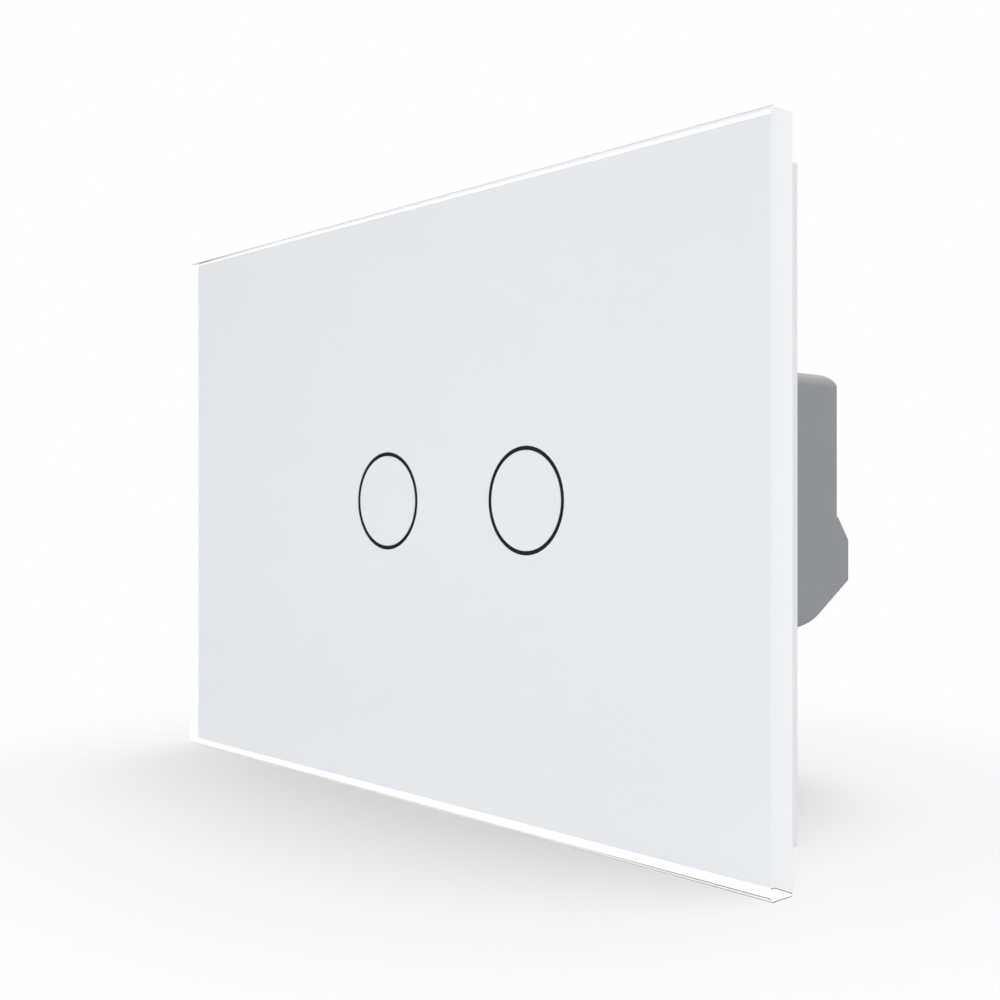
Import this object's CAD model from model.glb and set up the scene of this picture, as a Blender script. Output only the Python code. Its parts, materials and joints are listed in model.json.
"""Touch light switch: camera, light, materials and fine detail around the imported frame."""
import json
import math
from types import SimpleNamespace

import bmesh
import bpy
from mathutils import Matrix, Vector


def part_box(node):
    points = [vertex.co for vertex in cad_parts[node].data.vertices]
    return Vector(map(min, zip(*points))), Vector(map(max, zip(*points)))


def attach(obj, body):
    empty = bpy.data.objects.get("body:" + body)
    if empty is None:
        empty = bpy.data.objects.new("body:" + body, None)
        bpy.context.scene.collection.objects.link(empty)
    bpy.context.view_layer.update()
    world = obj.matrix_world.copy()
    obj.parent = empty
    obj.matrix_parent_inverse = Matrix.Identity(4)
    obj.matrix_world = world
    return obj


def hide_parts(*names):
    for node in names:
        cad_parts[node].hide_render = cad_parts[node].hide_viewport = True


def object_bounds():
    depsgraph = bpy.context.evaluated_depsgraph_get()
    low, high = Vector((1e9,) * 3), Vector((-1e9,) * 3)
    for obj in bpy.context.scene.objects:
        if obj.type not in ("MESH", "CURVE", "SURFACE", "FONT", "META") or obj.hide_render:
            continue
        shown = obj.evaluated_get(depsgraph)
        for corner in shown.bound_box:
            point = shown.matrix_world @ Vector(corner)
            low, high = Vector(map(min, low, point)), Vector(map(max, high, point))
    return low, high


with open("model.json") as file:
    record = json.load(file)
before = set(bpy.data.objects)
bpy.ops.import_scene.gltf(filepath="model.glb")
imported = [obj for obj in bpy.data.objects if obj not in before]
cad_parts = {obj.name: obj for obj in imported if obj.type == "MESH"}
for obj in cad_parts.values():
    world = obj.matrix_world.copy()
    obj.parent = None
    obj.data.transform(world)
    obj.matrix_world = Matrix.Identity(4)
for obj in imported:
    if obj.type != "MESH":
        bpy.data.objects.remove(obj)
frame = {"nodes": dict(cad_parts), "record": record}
cad_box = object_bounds()

MM = 0.001
SWITCH = "switch_body"
PANEL = "front_panel"

# Camera: level with the panel's middle, right of it, looking left across the glass
CAMERA_AT = (0.1379, -0.1170, 0.0)
CAMERA_TURN = 48.03
CAMERA_LENS = 47.1
CAMERA_SENSOR = 36.0
CAMERA_RISE = 0.0038
CAMERA_NEAR = 0.005

# Light: a soft dome, and a wide soft sun from above that gives the floor its shadow
DOME_STRENGTH = 0.52
SUN_STRENGTH = 2.4
SUN_SPREAD = 58.0
SUN_LEAN = (-15.0, 8.0)

# Weak lamps that even out the faces: far in front, far to the right, low in front, and flat on the
# floor under the glass. Each has its place, its aim, its size and its power.
FILL_LAMPS = {
    "fill": ((-0.08, -0.9, 0.06), (0, 0, 0.03), (0.7, 0.4), 1.84),
    "side_fill": ((0.9, 0, 0.1), (0.06, 0, 0), (0.6, 0.4), 0.21),
    "low_fill": ((-0.015, -0.11, -0.036), (0, 0, -0.018), (0.24, 0.006), 0.017),
    "floor_fill": ((0, -0.0123, -0.0398), (0, -0.0123, 0), (0.118, 0.012), 0.0012),
}

# Seen through glass the dome is a little brighter. A dark flag in the studio, on the left in front of
# the panel, shows only where gloss mirrors it.
GLASS_GAIN = 0.1
FLAG_WAY = (-0.752, -0.659, 0.0)
FLAG_HALF_ANGLE = 24.0
FLAG_SOFT_ANGLE = 36.0

# Floor: pale grey with a faint glow, fading to white between two distances from a point on it
FLOOR_TONE = 0.7
FLOOR_GLOW = 0.035
FLOOR_FADE = (0.02, 0.12)
FLOOR_FADE_FROM = (0.0, 0.01)
FLOOR_HALF = 3.0


def srgb(red, green, blue):
    """Screen values from 0 to 255 as a linear colour."""
    def linear(value):
        share = value / 255
        return share / 12.92 if share <= 0.04045 else ((share + 0.055) / 1.055) ** 2.4
    return (linear(red), linear(green), linear(blue), 1.0)


def scaled(colour, share):
    """A colour made lighter or darker."""
    return tuple(min(1.0, value * share) for value in colour[:3]) + (1.0,)


def add_camera():
    """The photograph's view."""
    data = bpy.data.cameras.new("camera")
    data.sensor_width = CAMERA_SENSOR
    data.lens = CAMERA_LENS
    data.shift_y = CAMERA_RISE
    data.clip_start = CAMERA_NEAR
    camera = bpy.data.objects.new("camera", data)
    camera.location = CAMERA_AT
    camera.rotation_euler = (math.radians(90), 0, math.radians(CAMERA_TURN))
    bpy.context.scene.collection.objects.link(camera)
    bpy.context.scene.camera = camera


def math_node(tree, operation, *values):
    """The result of a math node on sockets or plain numbers."""
    node = tree.nodes.new("ShaderNodeMath")
    node.operation = operation
    for socket, value in zip(node.inputs, values):
        if isinstance(value, (int, float)):
            socket.default_value = value
        else:
            tree.links.new(value, socket)
    return node.outputs["Value"]


def ray_kinds(tree):
    """Values that are 1 for rays from the camera, off a gloss and through glass."""
    path = tree.nodes.new("ShaderNodeLightPath")
    return [path.outputs[name] for name in ("Is Camera Ray", "Is Glossy Ray", "Is Transmission Ray")]


def add_world():
    """An even dome of light that looks plain white."""
    world = bpy.data.worlds.new("studio")
    bpy.context.scene.world = world
    world.use_nodes = True
    tree = world.node_tree
    tree.nodes.clear()
    out = tree.nodes.new("ShaderNodeOutputWorld")
    mix = tree.nodes.new("ShaderNodeMixShader")
    dome = tree.nodes.new("ShaderNodeBackground")
    dome.inputs["Strength"].default_value = DOME_STRENGTH
    white = tree.nodes.new("ShaderNodeBackground")
    for shader in (dome, white):
        shader.inputs["Color"].default_value = (1, 1, 1, 1)
    camera, glossy, through = ray_kinds(tree)
    way = tree.nodes.new("ShaderNodeTexCoord")
    nearness = tree.nodes.new("ShaderNodeVectorMath")
    nearness.operation = "DOT_PRODUCT"
    nearness.inputs[1].default_value = FLAG_WAY
    tree.links.new(way.outputs["Generated"], nearness.inputs[0])
    flag = tree.nodes.new("ShaderNodeMapRange")
    flag.interpolation_type = "SMOOTHSTEP"
    flag.inputs["From Min"].default_value = math.cos(math.radians(FLAG_SOFT_ANGLE))
    flag.inputs["From Max"].default_value = math.cos(math.radians(FLAG_HALF_ANGLE))
    tree.links.new(nearness.outputs["Value"], flag.inputs["Value"])
    mirrored = math_node(tree, "MULTIPLY", flag.outputs["Result"], glossy)
    gain = math_node(tree, "MULTIPLY_ADD", through, GLASS_GAIN, 1.0)
    tree.links.new(math_node(tree, "SUBTRACT", gain, mirrored), white.inputs["Strength"])
    shown = math_node(tree, "MAXIMUM", math_node(tree, "MAXIMUM", camera, glossy), through)
    tree.links.new(shown, mix.inputs["Fac"])
    tree.links.new(dome.outputs["Background"], mix.inputs[1])
    tree.links.new(white.outputs["Background"], mix.inputs[2])
    tree.links.new(mix.outputs["Shader"], out.inputs["Surface"])


def add_sun():
    """The wide soft light from above."""
    data = bpy.data.lights.new("overhead", "SUN")
    data.energy = SUN_STRENGTH
    data.angle = math.radians(SUN_SPREAD)
    sun = bpy.data.objects.new("overhead", data)
    sun.rotation_euler = (math.radians(SUN_LEAN[0]), math.radians(SUN_LEAN[1]), 0)
    bpy.context.scene.collection.objects.link(sun)


def add_fills():
    """The weak lamps, which light surfaces but aren't seen, mirrored or shown through glass."""
    for name, (place, aim, size, power) in FILL_LAMPS.items():
        data = bpy.data.lights.new(name, "AREA")
        data.shape = "RECTANGLE"
        data.size, data.size_y = size
        data.energy = power
        lamp = bpy.data.objects.new(name, data)
        lamp.location = place
        way = Vector(aim) - Vector(place)
        lamp.rotation_euler = way.to_track_quat("-Z", "Y").to_euler()
        lamp.visible_camera = False
        lamp.visible_glossy = False
        lamp.visible_transmission = False
        bpy.context.scene.collection.objects.link(lamp)


def floor_finish(level):
    """Pale paint with a faint glow, which fades to the white of the background further out.

    The glow and the fade show only to the camera, and light nothing.
    """
    mat = bpy.data.materials.new("floor_white")
    mat.use_nodes = True
    tree = mat.node_tree
    tree.nodes.clear()
    out = tree.nodes.new("ShaderNodeOutputMaterial")
    paint = tree.nodes.new("ShaderNodeBsdfDiffuse")
    paint.inputs["Color"].default_value = (FLOOR_TONE, FLOOR_TONE, FLOOR_TONE, 1)
    glow = tree.nodes.new("ShaderNodeEmission")
    both = tree.nodes.new("ShaderNodeAddShader")
    camera = ray_kinds(tree)[0]
    tree.links.new(math_node(tree, "MULTIPLY", camera, FLOOR_GLOW), glow.inputs["Strength"])
    tree.links.new(paint.outputs["BSDF"], both.inputs[0])
    tree.links.new(glow.outputs["Emission"], both.inputs[1])
    place = tree.nodes.new("ShaderNodeTexCoord")
    away = tree.nodes.new("ShaderNodeVectorMath")
    away.operation = "DISTANCE"
    away.inputs[1].default_value = (*FLOOR_FADE_FROM, level)
    tree.links.new(place.outputs["Object"], away.inputs[0])
    fade = tree.nodes.new("ShaderNodeMapRange")
    fade.interpolation_type = "SMOOTHSTEP"
    fade.inputs["From Min"].default_value, fade.inputs["From Max"].default_value = FLOOR_FADE
    tree.links.new(away.outputs["Value"], fade.inputs["Value"])
    white = tree.nodes.new("ShaderNodeEmission")
    mix = tree.nodes.new("ShaderNodeMixShader")
    tree.links.new(math_node(tree, "MULTIPLY", camera, fade.outputs["Result"]), mix.inputs["Fac"])
    tree.links.new(both.outputs["Shader"], mix.inputs[1])
    tree.links.new(white.outputs["Emission"], mix.inputs[2])
    tree.links.new(mix.outputs["Shader"], out.inputs["Surface"])
    return mat


def add_floor(level):
    """The floor, which keeps the shadow. Gloss and glass show the white dome in its place."""
    bm = bmesh.new()
    corners = [(-1, -1), (1, -1), (1, 1), (-1, 1)]
    bm.faces.new([bm.verts.new((x * FLOOR_HALF, y * FLOOR_HALF, level)) for x, y in corners])
    mesh = bpy.data.meshes.new("floor")
    bm.to_mesh(mesh)
    bm.free()
    mesh.materials.append(floor_finish(level))
    floor = bpy.data.objects.new("floor", mesh)
    floor.visible_glossy = False
    floor.visible_transmission = False
    bpy.context.scene.collection.objects.link(floor)


# Finishes: where the noise is darkest and lightest, and by what share the gloss drifts with it
PATCH_STOPS = (0.3, 0.7)
GLOSS_DRIFT = 0.15
PATCH_DETAIL = 3.0
GRAIN_DETAIL = 2.0


def noise(tree, size, stretch=(1, 1, 1), detail=PATCH_DETAIL):
    """Cloudy noise with patches of a size in millimetres, drawn out along an axis by stretch."""
    place = tree.nodes.new("ShaderNodeTexCoord")
    mapping = tree.nodes.new("ShaderNodeMapping")
    mapping.inputs["Scale"].default_value = stretch
    cloud = tree.nodes.new("ShaderNodeTexNoise")
    cloud.inputs["Scale"].default_value = 1 / (size * MM)
    cloud.inputs["Detail"].default_value = detail
    tree.links.new(place.outputs["Object"], mapping.inputs["Vector"])
    tree.links.new(mapping.outputs["Vector"], cloud.inputs["Vector"])
    return cloud.outputs["Fac"]


def finish(name, colour, rough, patch, drift, grain=0.0, relief=0.0, stretch=(1, 1, 1), **sockets):
    """A surface whose colour and gloss drift in soft patches, with a fine grain in its relief.

    patch, grain and relief are in millimetres. drift is the share by which the colour varies.
    """
    mat = bpy.data.materials.new(name)
    mat.use_nodes = True
    tree = mat.node_tree
    shader = tree.nodes["Principled BSDF"]
    cloud = noise(tree, patch, stretch)
    ramp = tree.nodes.new("ShaderNodeValToRGB")
    for stop, at, share in zip(ramp.color_ramp.elements, PATCH_STOPS, (1 - drift, 1 + drift)):
        stop.position, stop.color = at, scaled(colour, share)
    tree.links.new(cloud, ramp.inputs["Fac"])
    tree.links.new(ramp.outputs["Color"], shader.inputs["Base Color"])
    gloss = tree.nodes.new("ShaderNodeMapRange")
    gloss.inputs["To Min"].default_value = rough * (1 - GLOSS_DRIFT)
    gloss.inputs["To Max"].default_value = min(1.0, rough * (1 + GLOSS_DRIFT))
    tree.links.new(cloud, gloss.inputs["Value"])
    tree.links.new(gloss.outputs["Result"], shader.inputs["Roughness"])
    if grain:
        bump = tree.nodes.new("ShaderNodeBump")
        bump.inputs["Distance"].default_value = relief * MM
        tree.links.new(noise(tree, grain, stretch, GRAIN_DETAIL), bump.inputs["Height"])
        tree.links.new(bump.outputs["Normal"], shader.inputs["Normal"])
    for socket, value in sockets.items():
        shader.inputs[socket.replace("_", " ")].default_value = value
    return mat


def make_finishes():
    """One material for each slot of the record but the glass, and one for the masked tracks."""
    finishes = {}
    metal = {"Metallic": 1.0}
    brushed = (0.15, 1, 1)

    def add(name, *look, **sockets):
        finishes[name] = finish(name, *look, **sockets)

    # Colour, roughness, size of patches and drift, and for most the size and the relief of the grain
    add("white_ink", srgb(243, 246, 251), 0.6, 30, 0.004)
    add("black_ink", srgb(14, 14, 16), 0.45, 3, 0.1)
    add("foam_tape", srgb(214, 215, 212), 0.9, 2, 0.05, 0.4, 0.05)
    add("white_plastic", srgb(236, 238, 241), 0.38, 8, 0.012, 0.35, 0.004)
    add("grey_plastic", srgb(143, 146, 151), 0.5, 7, 0.02, 0.4, 0.012)
    add("zinc_steel", srgb(190, 192, 194), 0.36, 3, 0.08, 0.3, 0.004, brushed, **metal)
    add("screw_steel", srgb(198, 199, 202), 0.3, 1, 0.06, 0.2, 0.003, **metal)
    add("insulation_film", srgb(232, 229, 212), 0.55, 4, 0.04, 0.5, 0.006)
    add("green_board", srgb(22, 96, 52), 0.28, 4, 0.12, 0.6, 0.006)
    add("spring_brass", srgb(224, 196, 132), 0.22, 1, 0.06, 0.2, 0.002, **metal)
    add("clear_plastic", srgb(238, 244, 244), 0.12, 3, 0.01, Transmission_Weight=0.85, IOR=1.49)
    add("lamp_white", srgb(245, 238, 196), 0.3, 1, 0.04, Coat_Weight=0.4)
    add("black_plastic", srgb(34, 34, 37), 0.45, 3, 0.08, 0.2, 0.006)
    add("blue_plastic", srgb(34, 78, 160), 0.3, 5, 0.05, 0.4, 0.004)
    add("copper_winding", srgb(196, 116, 62), 0.28, 1, 0.1, **metal)
    add("soft_iron", srgb(176, 176, 180), 0.34, 2, 0.06, 0.3, 0.003, **metal)
    add("contact_brass", srgb(214, 172, 92), 0.3, 2, 0.08, 0.3, 0.003, **metal)
    add("capacitor_sleeve", srgb(32, 36, 62), 0.32, 4, 0.06)
    add("yellow_box", srgb(226, 176, 40), 0.3, 4, 0.05, 0.5, 0.004)
    add("ferrite", srgb(66, 66, 70), 0.6, 1.2, 0.15, 0.25, 0.01)
    add("yellow_tape", srgb(230, 182, 44), 0.4, 3, 0.06)
    add("blue_resin", srgb(36, 84, 176), 0.2, 3, 0.08, 1.2, 0.03)
    add("brown_ceramic", srgb(128, 96, 74), 0.5, 1.5, 0.12, 0.4, 0.01)
    add("terminal_plastic", srgb(74, 76, 80), 0.5, 4, 0.05, 0.3, 0.008)
    add("masked_track", srgb(40, 124, 70), 0.28, 3, 0.1)
    return finishes


def dress_nodes(finishes):
    """Each CAD node takes the finish of its slot. The glass has none, because a piece replaces it."""
    for part in frame["record"]["subparts"]:
        mat = finishes.get(part["material_slot"])
        if mat is None:
            continue
        node = frame["nodes"][part["node"]]
        if not node.material_slots:
            node.data.materials.append(mat)
        for place in node.material_slots:
            place.material = mat


# Clear glass: its colour, how it bends light, and its haze in patches of a size in millimetres
GLASS_COLOUR = (0.985, 0.995, 0.99, 1)
GLASS_IOR = 1.5
GLASS_HAZE = 0.006
HAZE_PATCH = 20.0


def see_through(mat):
    """Lets lamps and bounced light pass straight through, so that what is behind glass is lit."""
    tree = mat.node_tree
    out = tree.nodes["Material Output"]
    clear = tree.nodes.new("ShaderNodeBsdfTransparent")
    mix = tree.nodes.new("ShaderNodeMixShader")
    tree.links.new(ray_kinds(tree)[0], mix.inputs["Fac"])
    tree.links.new(clear.outputs["BSDF"], mix.inputs[1])
    tree.links.new(tree.nodes["Principled BSDF"].outputs["BSDF"], mix.inputs[2])
    tree.links.new(mix.outputs["Shader"], out.inputs["Surface"])
    return mat


def clear_glass(name, colour=GLASS_COLOUR):
    """Polished clear glass, with the faintest haze in patches."""
    mat = bpy.data.materials.new(name)
    mat.use_nodes = True
    tree = mat.node_tree
    shader = tree.nodes["Principled BSDF"]
    shader.inputs["Base Color"].default_value = colour
    shader.inputs["Transmission Weight"].default_value = 1.0
    shader.inputs["IOR"].default_value = GLASS_IOR
    haze = tree.nodes.new("ShaderNodeMapRange")
    haze.inputs["To Min"].default_value = 0.0
    haze.inputs["To Max"].default_value = GLASS_HAZE
    tree.links.new(noise(tree, HAZE_PATCH), haze.inputs["Value"])
    tree.links.new(haze.outputs["Result"], shader.inputs["Roughness"])
    return see_through(mat)


def tint_along(mat, low, high, stops):
    """Tints a glass by greys at places along X."""
    tree = mat.node_tree
    place = tree.nodes.new("ShaderNodeTexCoord")
    axes = tree.nodes.new("ShaderNodeSeparateXYZ")
    share = tree.nodes.new("ShaderNodeMapRange")
    share.inputs["From Min"].default_value, share.inputs["From Max"].default_value = low, high
    ramp = tree.nodes.new("ShaderNodeValToRGB")
    steps = ramp.color_ramp.elements
    while len(steps) < len(stops):
        steps.new(0.5)
    for step, (at, grey) in zip(steps, stops):
        step.position, step.color = at, srgb(grey, grey, grey)
    tree.links.new(place.outputs["Object"], axes.inputs[0])
    tree.links.new(axes.outputs["X"], share.inputs["Value"])
    tree.links.new(share.outputs["Result"], ramp.inputs["Fac"])
    tree.links.new(ramp.outputs["Color"], tree.nodes["Principled BSDF"].inputs["Base Color"])
    return mat


# Edges that bend by more degrees than this stay sharp
SHARP_ANGLE = 35.0


def new_piece(name, bm, body, mats):
    """A mesh piece that rides on a body, smooth except along sharp edges."""
    bmesh.ops.recalc_face_normals(bm, faces=bm.faces)
    mesh = bpy.data.meshes.new(name)
    bm.to_mesh(mesh)
    bm.free()
    for mat in mats:
        mesh.materials.append(mat)
    mesh.shade_smooth()
    mesh.set_sharp_from_angle(angle=math.radians(SHARP_ANGLE))
    piece = bpy.data.objects.new(name, mesh)
    bpy.context.scene.collection.objects.link(piece)
    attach(piece, body)
    return piece


def rounded_outline(width, height, radius, x=0.0, z=0.0, steps=8):
    """Points round a rectangle with round corners about a centre, as pairs of x and z."""
    points = []
    for side_x, side_z, start in ((1, 1, 0), (-1, 1, 90), (-1, -1, 180), (1, -1, 270)):
        for step in range(steps + 1):
            turn = math.radians(start + 90 * step / steps)
            points.append((x + side_x * (width / 2 - radius) + radius * math.cos(turn),
                           z + side_z * (height / 2 - radius) + radius * math.sin(turn)))
    return points


def circle(x, z, radius, sides=20):
    """Points round a circle, as pairs of x and z."""
    turns = [2 * math.pi * i / sides for i in range(sides)]
    return [(x + radius * math.cos(a), z + radius * math.sin(a)) for a in turns]


def loft(bm, levels, skins=()):
    """A closed form through outlines at several depths.

    skins gives the materials of the front, of each band and of the back.
    """
    rings = [[bm.verts.new((x, y, z)) for x, z in outline] for y, outline in levels]
    bands = []
    for ring, following in zip(rings, rings[1:]):
        around = range(len(ring))
        bands.append([bm.faces.new((ring[i - 1], ring[i], following[i], following[i - 1]))
                      for i in around])
    front, back = [bm.faces.new(rings[0])], [bm.faces.new(list(reversed(rings[-1])))]
    for faces, skin in zip([front, *bands, back], skins):
        for face in faces:
            face.material_index = skin


def studs(bm, places, face, form):
    """Round studs on a face, at pairs of x and z. form gives pairs of rise and radius."""
    for x, z in places:
        loft(bm, [(face - rise, circle(x, z, radius)) for rise, radius in form])


def block(bm, x, z, width, height, near, far, edge):
    """A block with bevelled front edges, between two depths, near the front one."""
    def outline(inset):
        return rounded_outline(width - 2 * inset, height - 2 * inset, edge, x, z, steps=3)
    loft(bm, [(near, outline(edge)), (near + edge, outline(0)), (far, outline(0))])


def track(bm, points, width, near, far):
    """A flat strip with mitred bends along pairs of x and z, between two depths."""
    places = [Vector(point) for point in points]
    ways = [(b - a).normalized() for a, b in zip(places, places[1:])]
    edges = []
    for i, place in enumerate(places):
        before, after = ways[max(i - 1, 0)], ways[min(i, len(ways) - 1)]
        along = (before + after).normalized()
        across = Vector((-along.y, along.x)) * (width / 2 / along.dot(after))
        edges.append((place + across, place - across))
    outline = [tuple(left) for left, _ in edges] + [tuple(right) for _, right in reversed(edges)]
    loft(bm, [(near, outline), (far, outline)])


def tube(bm, points, radius, sides=12):
    """A round wire along a line of points, with flat ends."""
    last = len(points) - 1
    ways = [(points[min(i + 1, last)] - points[max(i - 1, 0)]).normalized() for i in range(last + 1)]
    side = ways[0].orthogonal()
    rings = []
    for point, way in zip(points, ways):
        side = (side - way * side.dot(way)).normalized()
        across = way.cross(side)
        turns = [2 * math.pi * i / sides for i in range(sides)]
        rings.append([bm.verts.new(point + radius * (side * math.cos(a) + across * math.sin(a)))
                      for a in turns])
    for ring, following in zip(rings, rings[1:]):
        for i in range(sides):
            bm.faces.new((ring[i - 1], ring[i], following[i], following[i - 1]))
    bm.faces.new(rings[0])
    bm.faces.new(list(reversed(rings[-1])))


def middle(node):
    """The middle of a CAD node's box."""
    low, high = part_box(node)
    return (low + high) / 2


# Glass: the front bevel on the long edges and on the sides, the round of its corners, the arris along
# each edge of the bevel, the rear edge, and how far the plate sinks into the print behind it
GLASS_EDGE = 0.58 * MM
GLASS_SIDE_EDGE = 0.1 * MM
GLASS_CORNER = 0.3 * MM
GLASS_FRONT_CORNER = 0.05 * MM
GLASS_ARRIS = 0.13 * MM
GLASS_REAR_EDGE = 0.1 * MM
GLASS_SINK = 0.02 * MM

# The side walls are ground, down to a clear foot. The dark line over the foot and along its lower edge
# is a tint, put there to match the photograph.
GROUND_COLOUR = srgb(251, 253, 255)
FOOT_FRONT = 1.5 * MM
FOOT_REAR = 0.4 * MM
FOOT_LINE = 0.1 * MM
FOOT_OUTLINE = 0.25 * MM
FOOT_COLOUR = srgb(39, 39, 39)

# The bands of the glass from front to back, and the long edges that have a tint of their own
FRONT, FRONT_ARRIS, BEVEL, OUTER_ARRIS, WALL, REAR_ARRIS, REAR = range(7)
UPPER, LOWER = True, False
EDGE_TINTS = {
    (BEVEL, UPPER): "upper_bevel",
    (OUTER_ARRIS, UPPER): "upper_line",
    (FRONT_ARRIS, LOWER): "lower_line",
    (BEVEL, LOWER): "lower_bevel",
    (OUTER_ARRIS, LOWER): "lower_edge",
}

# Greys that tint the fine edges of the glass at places along its width, as shares from the left end.
# They were chosen to match the photograph's edge lines, and stand for reflections that the lamps here
# don't give, so they stay as they are in other views.
GLASS_TINTS = {
    "upper_bevel": ((0.012, 200), (0.025, 0), (0.05, 25), (0.08, 120), (0.12, 200), (0.2, 255)),
    "upper_line": ((0.0, 0), (0.05, 30), (0.12, 85), (0.45, 105), (0.7, 165)),
    "lower_line": ((0.74, 255), (0.84, 90), (0.9, 10), (1.0, 0)),
    "lower_bevel": ((0.0, 165), (0.28, 175), (0.66, 205), (0.82, 225), (0.92, 245)),
    "lower_edge": ((0.6, 181), (0.84, 131), (1.0, 60)),
}


def add_glass():
    """The clear front: polished faces, fine tinted long edges and ground side walls."""
    low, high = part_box("glass_panel")
    width, height = high.x - low.x, high.z - low.z
    middle_y = (low.y + high.y) / 2

    def foot(y):
        """The top of the clear foot, which slopes from front to back."""
        return low.z + (FOOT_FRONT if y < middle_y else FOOT_REAR)

    def level(y, share):
        """The outline where a share of the bevel is still to come, with the foot's line on each side."""
        half = width / 2 - share * GLASS_SIDE_EDGE
        inset = share * GLASS_EDGE
        corner = max(GLASS_CORNER - inset, GLASS_FRONT_CORNER)
        points = rounded_outline(2 * half, height - 2 * inset, corner)
        left = [(-half, foot(y) + FOOT_LINE), (-half, foot(y))]
        right = [(half, z) for _, z in reversed(left)]
        upper = len(points) // 2
        return y, points[:upper] + left + points[upper:] + right

    def skin(face):
        """The name of a face's material, by its band and its place in it."""
        band = face.material_index
        rise = face.calc_center_median().z - low.z
        if band in (FRONT, REAR):
            return "clear_glass"
        if abs(face.normal.z) > abs(face.normal.x):
            return EDGE_TINTS.get((band, rise > height / 2), "clear_glass")
        over_foot = sum(vert.co.z - foot(vert.co.y) for vert in face.verts) / len(face.verts)
        if over_foot > FOOT_LINE:
            return "ground_side"
        return "corner_line" if over_foot > 0 or rise < FOOT_OUTLINE else "clear_glass"

    arris = GLASS_ARRIS / GLASS_EDGE
    levels = [level(low.y + (1 - share) * GLASS_EDGE, share) for share in (1, 1 - arris, arris, 0)]
    levels.append(level(high.y - GLASS_REAR_EDGE, 0))
    levels.append(level(high.y + GLASS_SINK, (GLASS_REAR_EDGE + GLASS_SINK) / GLASS_EDGE))
    bm = bmesh.new()
    loft(bm, levels, range(len(levels) + 1))
    skins = {"clear_glass": clear_glass("clear_glass"),
             "ground_side": see_through(finish("ground_side", GROUND_COLOUR, 0.3, 4, 0.006))}
    for name, stops in GLASS_TINTS.items():
        skins[name] = tint_along(clear_glass(name), low.x, high.x, stops)
    skins["corner_line"] = clear_glass("corner_line", FOOT_COLOUR)
    names = list(skins)
    for face in bm.faces:
        face.normal_update()
        face.material_index = names.index(skin(face))
    plate = new_piece("glass_plate", bm, PANEL, skins.values())
    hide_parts("glass_panel")


# Touch springs: the curl's radius, the wire's diameter, and the height of the first curl's start
SPRING_R = 4.4 * MM
SPRING_WIRE = 0.4 * MM
SPRING_START = 1.5 * SPRING_WIRE
SPRING_TURNS = 1.576
SPRING_STEPS = 96


def add_springs(finishes):
    """Touch springs: a straight tail in the board, then one smooth wire in curls up to the print."""
    board_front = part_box("touch_board")[0].y
    for hand in ("left", "right"):
        node = f"touch_spring_{hand}"
        centre = middle(f"light_guide_{hand}")
        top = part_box(node)[0].y + SPRING_WIRE / 2
        start = board_front - SPRING_START
        points = [Vector((SPRING_R, board_front, -SPRING_WIRE)),
                  Vector((SPRING_R, board_front - SPRING_WIRE, -SPRING_WIRE))]
        for step in range(SPRING_STEPS + 1):
            share = step / SPRING_STEPS
            turn = 2 * math.pi * SPRING_TURNS * share
            points.append(Vector((SPRING_R * math.cos(turn), start + (top - start) * share,
                                  SPRING_R * math.sin(turn))))
        bm = bmesh.new()
        tube(bm, [point + Vector((centre.x, 0, centre.z)) for point in points], SPRING_WIRE / 2)
        spring = new_piece(f"spring_wire_{hand}", bm, SWITCH,
                           [finishes["spring_brass"]])
        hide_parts(node)


# Touch board: the header's pins, the chip's sense pins over its middle, and the tracks. Lanes run
# beside the chip, and end a little above it and below it.
PIN_STEP = 2.54 * MM
PIN_COUNT = 6
SENSE_RISE = 0.635 * MM
TRACK_WIDTH = 0.5 * MM
TRACK_RISE = 0.04 * MM
TRACK_BEND = 2.2 * MM
LANE_SHIFTS = (-4.4 * MM, -2.2 * MM, 2.2 * MM)
LANE_OVER_CHIP = 1.2 * MM
LANE_UNDER_CHIP = 1.6 * MM
LAMP_TURN = 1.8 * TRACK_BEND
SIDE_LANE = 3.2 * TRACK_BEND

# Round forms as pairs of rise and radius: solder on a pin and on a spring's tail, and the chip's dot
PIN_SOLDER = ((0.5 * MM, 0.5 * MM), (0.15 * MM, 0.62 * MM), (-TRACK_RISE, 0.9 * MM))
TAIL_SOLDER = ((0.3 * MM, 0.3 * MM), (0.12 * MM, 0.5 * MM), (-TRACK_RISE, 0.75 * MM))
DOT_FORM = ((0.01 * MM, 0.3 * MM), (-0.05 * MM, 0.36 * MM))
DOT_IN_FROM_SIDE = 1.7 * MM
DOT_IN_FROM_TOP = 0.8 * MM

# Chip parts: length, width and height, the metal ends, and their places about the chip
CHIP_PART = (1.6 * MM, 0.8 * MM, 0.45 * MM)
CHIP_END = 0.3 * MM
CHIP_END_RISE = 0.02 * MM
CHIP_EDGE = 0.05 * MM
PART_BESIDE_CHIP = 2.4 * MM
PART_UNDER_LANE = 0.4 * MM
PART_DROP_LEFT = 3.2 * MM
PART_DROP_RIGHT = 2.6 * MM
PART_FAR_RIGHT = 5.8 * MM


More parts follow.
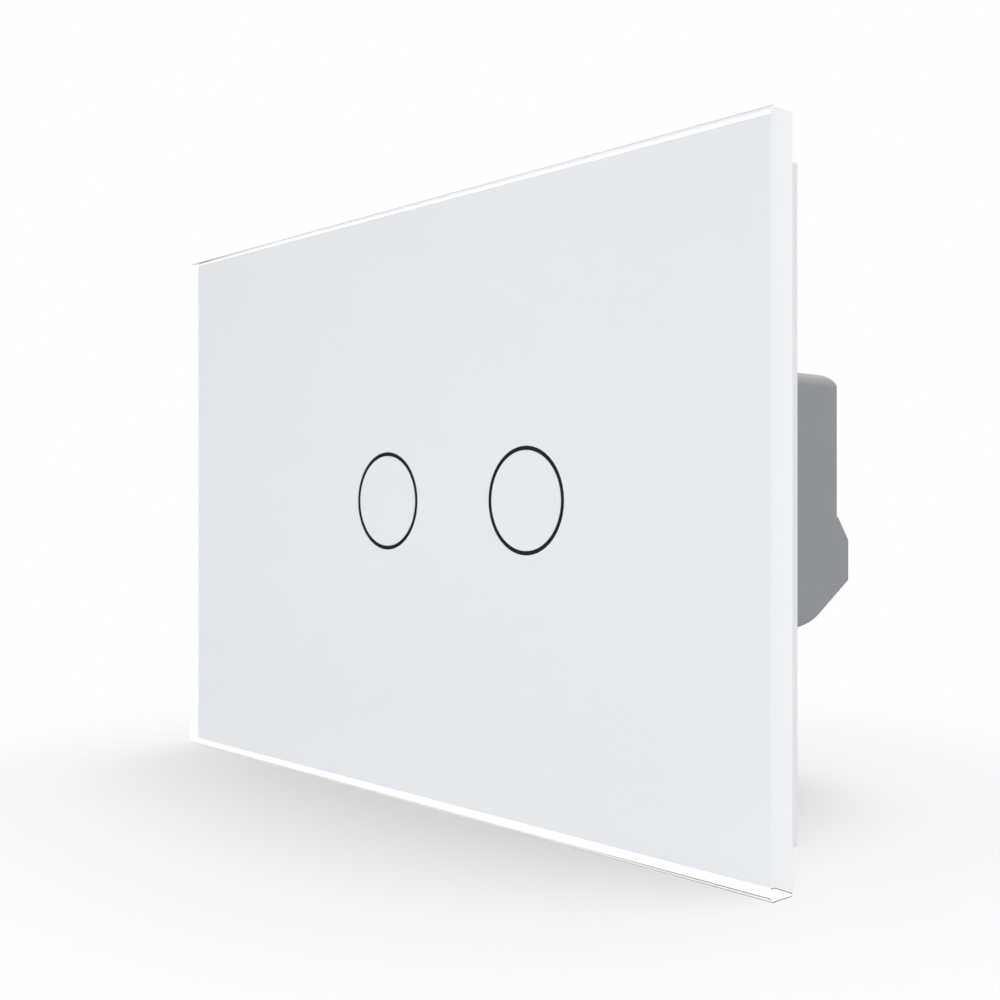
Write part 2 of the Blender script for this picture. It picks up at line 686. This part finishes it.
def touch_board_layout():
    """Places on the touch board's front, worked out from the nodes that it carries."""
    chip, strip = middle("touch_chip"), middle("header_strip")
    chip_low, chip_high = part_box("touch_chip")
    left, right = middle("light_guide_left"), middle("light_guide_right")
    first_pin = strip.x - (PIN_COUNT - 1) / 2 * PIN_STEP
    return SimpleNamespace(
        front=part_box("touch_board")[0].y, chip=chip, chip_low=chip_low, chip_high=chip_high,
        left=left, right=right, sense_z=chip.z + SENSE_RISE,
        pins=[(first_pin + i * PIN_STEP, strip.z) for i in range(PIN_COUNT)],
        tails=[(guide.x + SPRING_R, guide.z - SPRING_WIRE) for guide in (left, right)],
        lanes=[chip.x + shift for shift in LANE_SHIFTS],
        top=chip_high.z + LANE_OVER_CHIP, low=chip_low.z - LANE_UNDER_CHIP)


def track_routes(at):
    """The tracks on the touch board, as pairs of x and z from end to end."""
    bend = TRACK_BEND
    side_x = at.left.x - SIDE_LANE
    (left_tail, right_tail), pins, lanes = at.tails, at.pins, at.lanes
    sense = [[left_tail, (left_tail[0], at.sense_z + bend), (left_tail[0] + bend, at.sense_z),
              (at.chip_low.x, at.sense_z)],
             [right_tail, (right_tail[0], at.sense_z + bend), (right_tail[0] - bend, at.sense_z),
              (at.chip_high.x, at.sense_z)]]
    down = [[pin, (pin[0], at.top + 3 * bend), (lane, at.top + 2 * bend), (lane, end)]
            for pin, lane, end in zip(pins[3:], lanes, (at.low, at.top, at.top))]
    lamps = [[pins[2], (pins[2][0], at.left.z + bend), (at.left.x + LAMP_TURN, at.left.z),
              (at.left.x, at.left.z)],
             [pins[1], (pins[1][0], pins[1][1] - bend), (side_x, at.left.z + bend), (side_x, at.low),
              (at.chip_low.x, at.low)],
             [(at.chip_high.x, at.low), (at.right.x - bend, at.low), (at.right.x, at.low + bend),
              (at.right.x, at.right.z)]]
    return sense + down + lamps


def chip_part(bodies, ends, x, z, front, upright):
    """A chip part on the board: its body, and a metal end on each side."""
    length, width, height = CHIP_PART

    def turned(along, across):
        return (across, along) if upright else (along, across)

    block(bodies, x, z, *turned(length - 2 * CHIP_END, width), front - height, front, CHIP_EDGE)
    for side in (-1, 1):
        shift_x, shift_z = turned(side * (length - CHIP_END) / 2, 0)
        block(ends, x + shift_x, z + shift_z, *turned(CHIP_END, width),
              front - height - CHIP_END_RISE, front, CHIP_EDGE)


def add_touch_board_detail(finishes):
    """Tracks under the solder mask, soldered pins and tails, and the small parts by the touch chip."""
    at = touch_board_layout()
    bm = bmesh.new()
    for route in track_routes(at):
        track(bm, route, TRACK_WIDTH, at.front - TRACK_RISE, at.front + TRACK_RISE)
    new_piece("touch_board_tracks", bm, SWITCH, [finishes["masked_track"]])

    bm = bmesh.new()
    studs(bm, at.pins, at.front, PIN_SOLDER)
    studs(bm, at.tails, at.front, TAIL_SOLDER)
    new_piece("touch_board_solder", bm, SWITCH, [finishes["screw_steel"]])

    flat = [(at.chip_low.x - PART_BESIDE_CHIP, at.sense_z),
            (at.chip_high.x + PART_BESIDE_CHIP, at.sense_z),
            (at.chip.x, at.low - PART_UNDER_LANE)]
    upright = [(at.lanes[0], at.chip.z - PART_DROP_LEFT),
               (at.chip.x + PART_FAR_RIGHT, at.chip.z - PART_DROP_RIGHT),
               (at.left.x - SIDE_LANE, at.left.z - 2 * TRACK_BEND),
               (at.right.x, at.right.z - 3 * TRACK_BEND)]
    bodies, ends = bmesh.new(), bmesh.new()
    for places in (flat, upright):
        for x, z in places:
            chip_part(bodies, ends, x, z, at.front, places is upright)
    new_piece("touch_board_chips", bodies, SWITCH, [finishes["black_plastic"]])
    new_piece("touch_board_chip_ends", ends, SWITCH, [finishes["screw_steel"]])

    bm = bmesh.new()
    dot = (at.chip_low.x + DOT_IN_FROM_SIDE, at.chip_high.z - DOT_IN_FROM_TOP)
    studs(bm, [dot], at.chip_low.y, DOT_FORM)
    new_piece("touch_chip_dot", bm, SWITCH, [finishes["white_ink"]])


# Marks moulded on the housing's rear face: its depth, arrows over the wire entries, a strip gauge
REAR_FACE = 38.2 * MM
MARK_RISE = 0.2 * MM
MARK_WIDTH = 0.6 * MM
POLES = 4
ARROW_HALF = 1.6 * MM
ARROW_TOP = 2.6 * MM
ARROW_TIP = 1.0 * MM
GAUGE_AT = (21.0 * MM, 10.5 * MM)
GAUGE_HALF = 4.5 * MM
GAUGE_WIDTH = 1.0 * MM
GAUGE_END = 5.3 * MM
GAUGE_END_HALF = 1.4 * MM


def add_rear_marks(finishes):
    """Raised marks moulded in the rear face: an arrow over each wire entry and a strip gauge."""
    depths = REAR_FACE - MARK_RISE, REAR_FACE + MARK_RISE
    bm = bmesh.new()
    for pole in range(1, POLES + 1):
        x = middle(f"clamp_plate_{pole}").x
        arrow = [(x - ARROW_HALF, ARROW_TOP), (x, ARROW_TIP), (x + ARROW_HALF, ARROW_TOP)]
        track(bm, arrow, MARK_WIDTH, *depths)
    x, z = GAUGE_AT
    track(bm, [(x - GAUGE_HALF, z), (x + GAUGE_HALF, z)], GAUGE_WIDTH, *depths)
    for end_x in (x - GAUGE_END, x + GAUGE_END):
        track(bm, [(end_x, z - GAUGE_END_HALF), (end_x, z + GAUGE_END_HALF)], MARK_WIDTH, *depths)
    new_piece("housing_marks", bm, SWITCH, [finishes["grey_plastic"]])


bpy.context.scene.view_settings.view_transform = "Standard"
add_camera()
add_world()
add_sun()
add_fills()
add_floor(cad_box[0].z)
finishes = make_finishes()
dress_nodes(finishes)
add_glass()
add_springs(finishes)
add_touch_board_detail(finishes)
add_rear_marks(finishes)
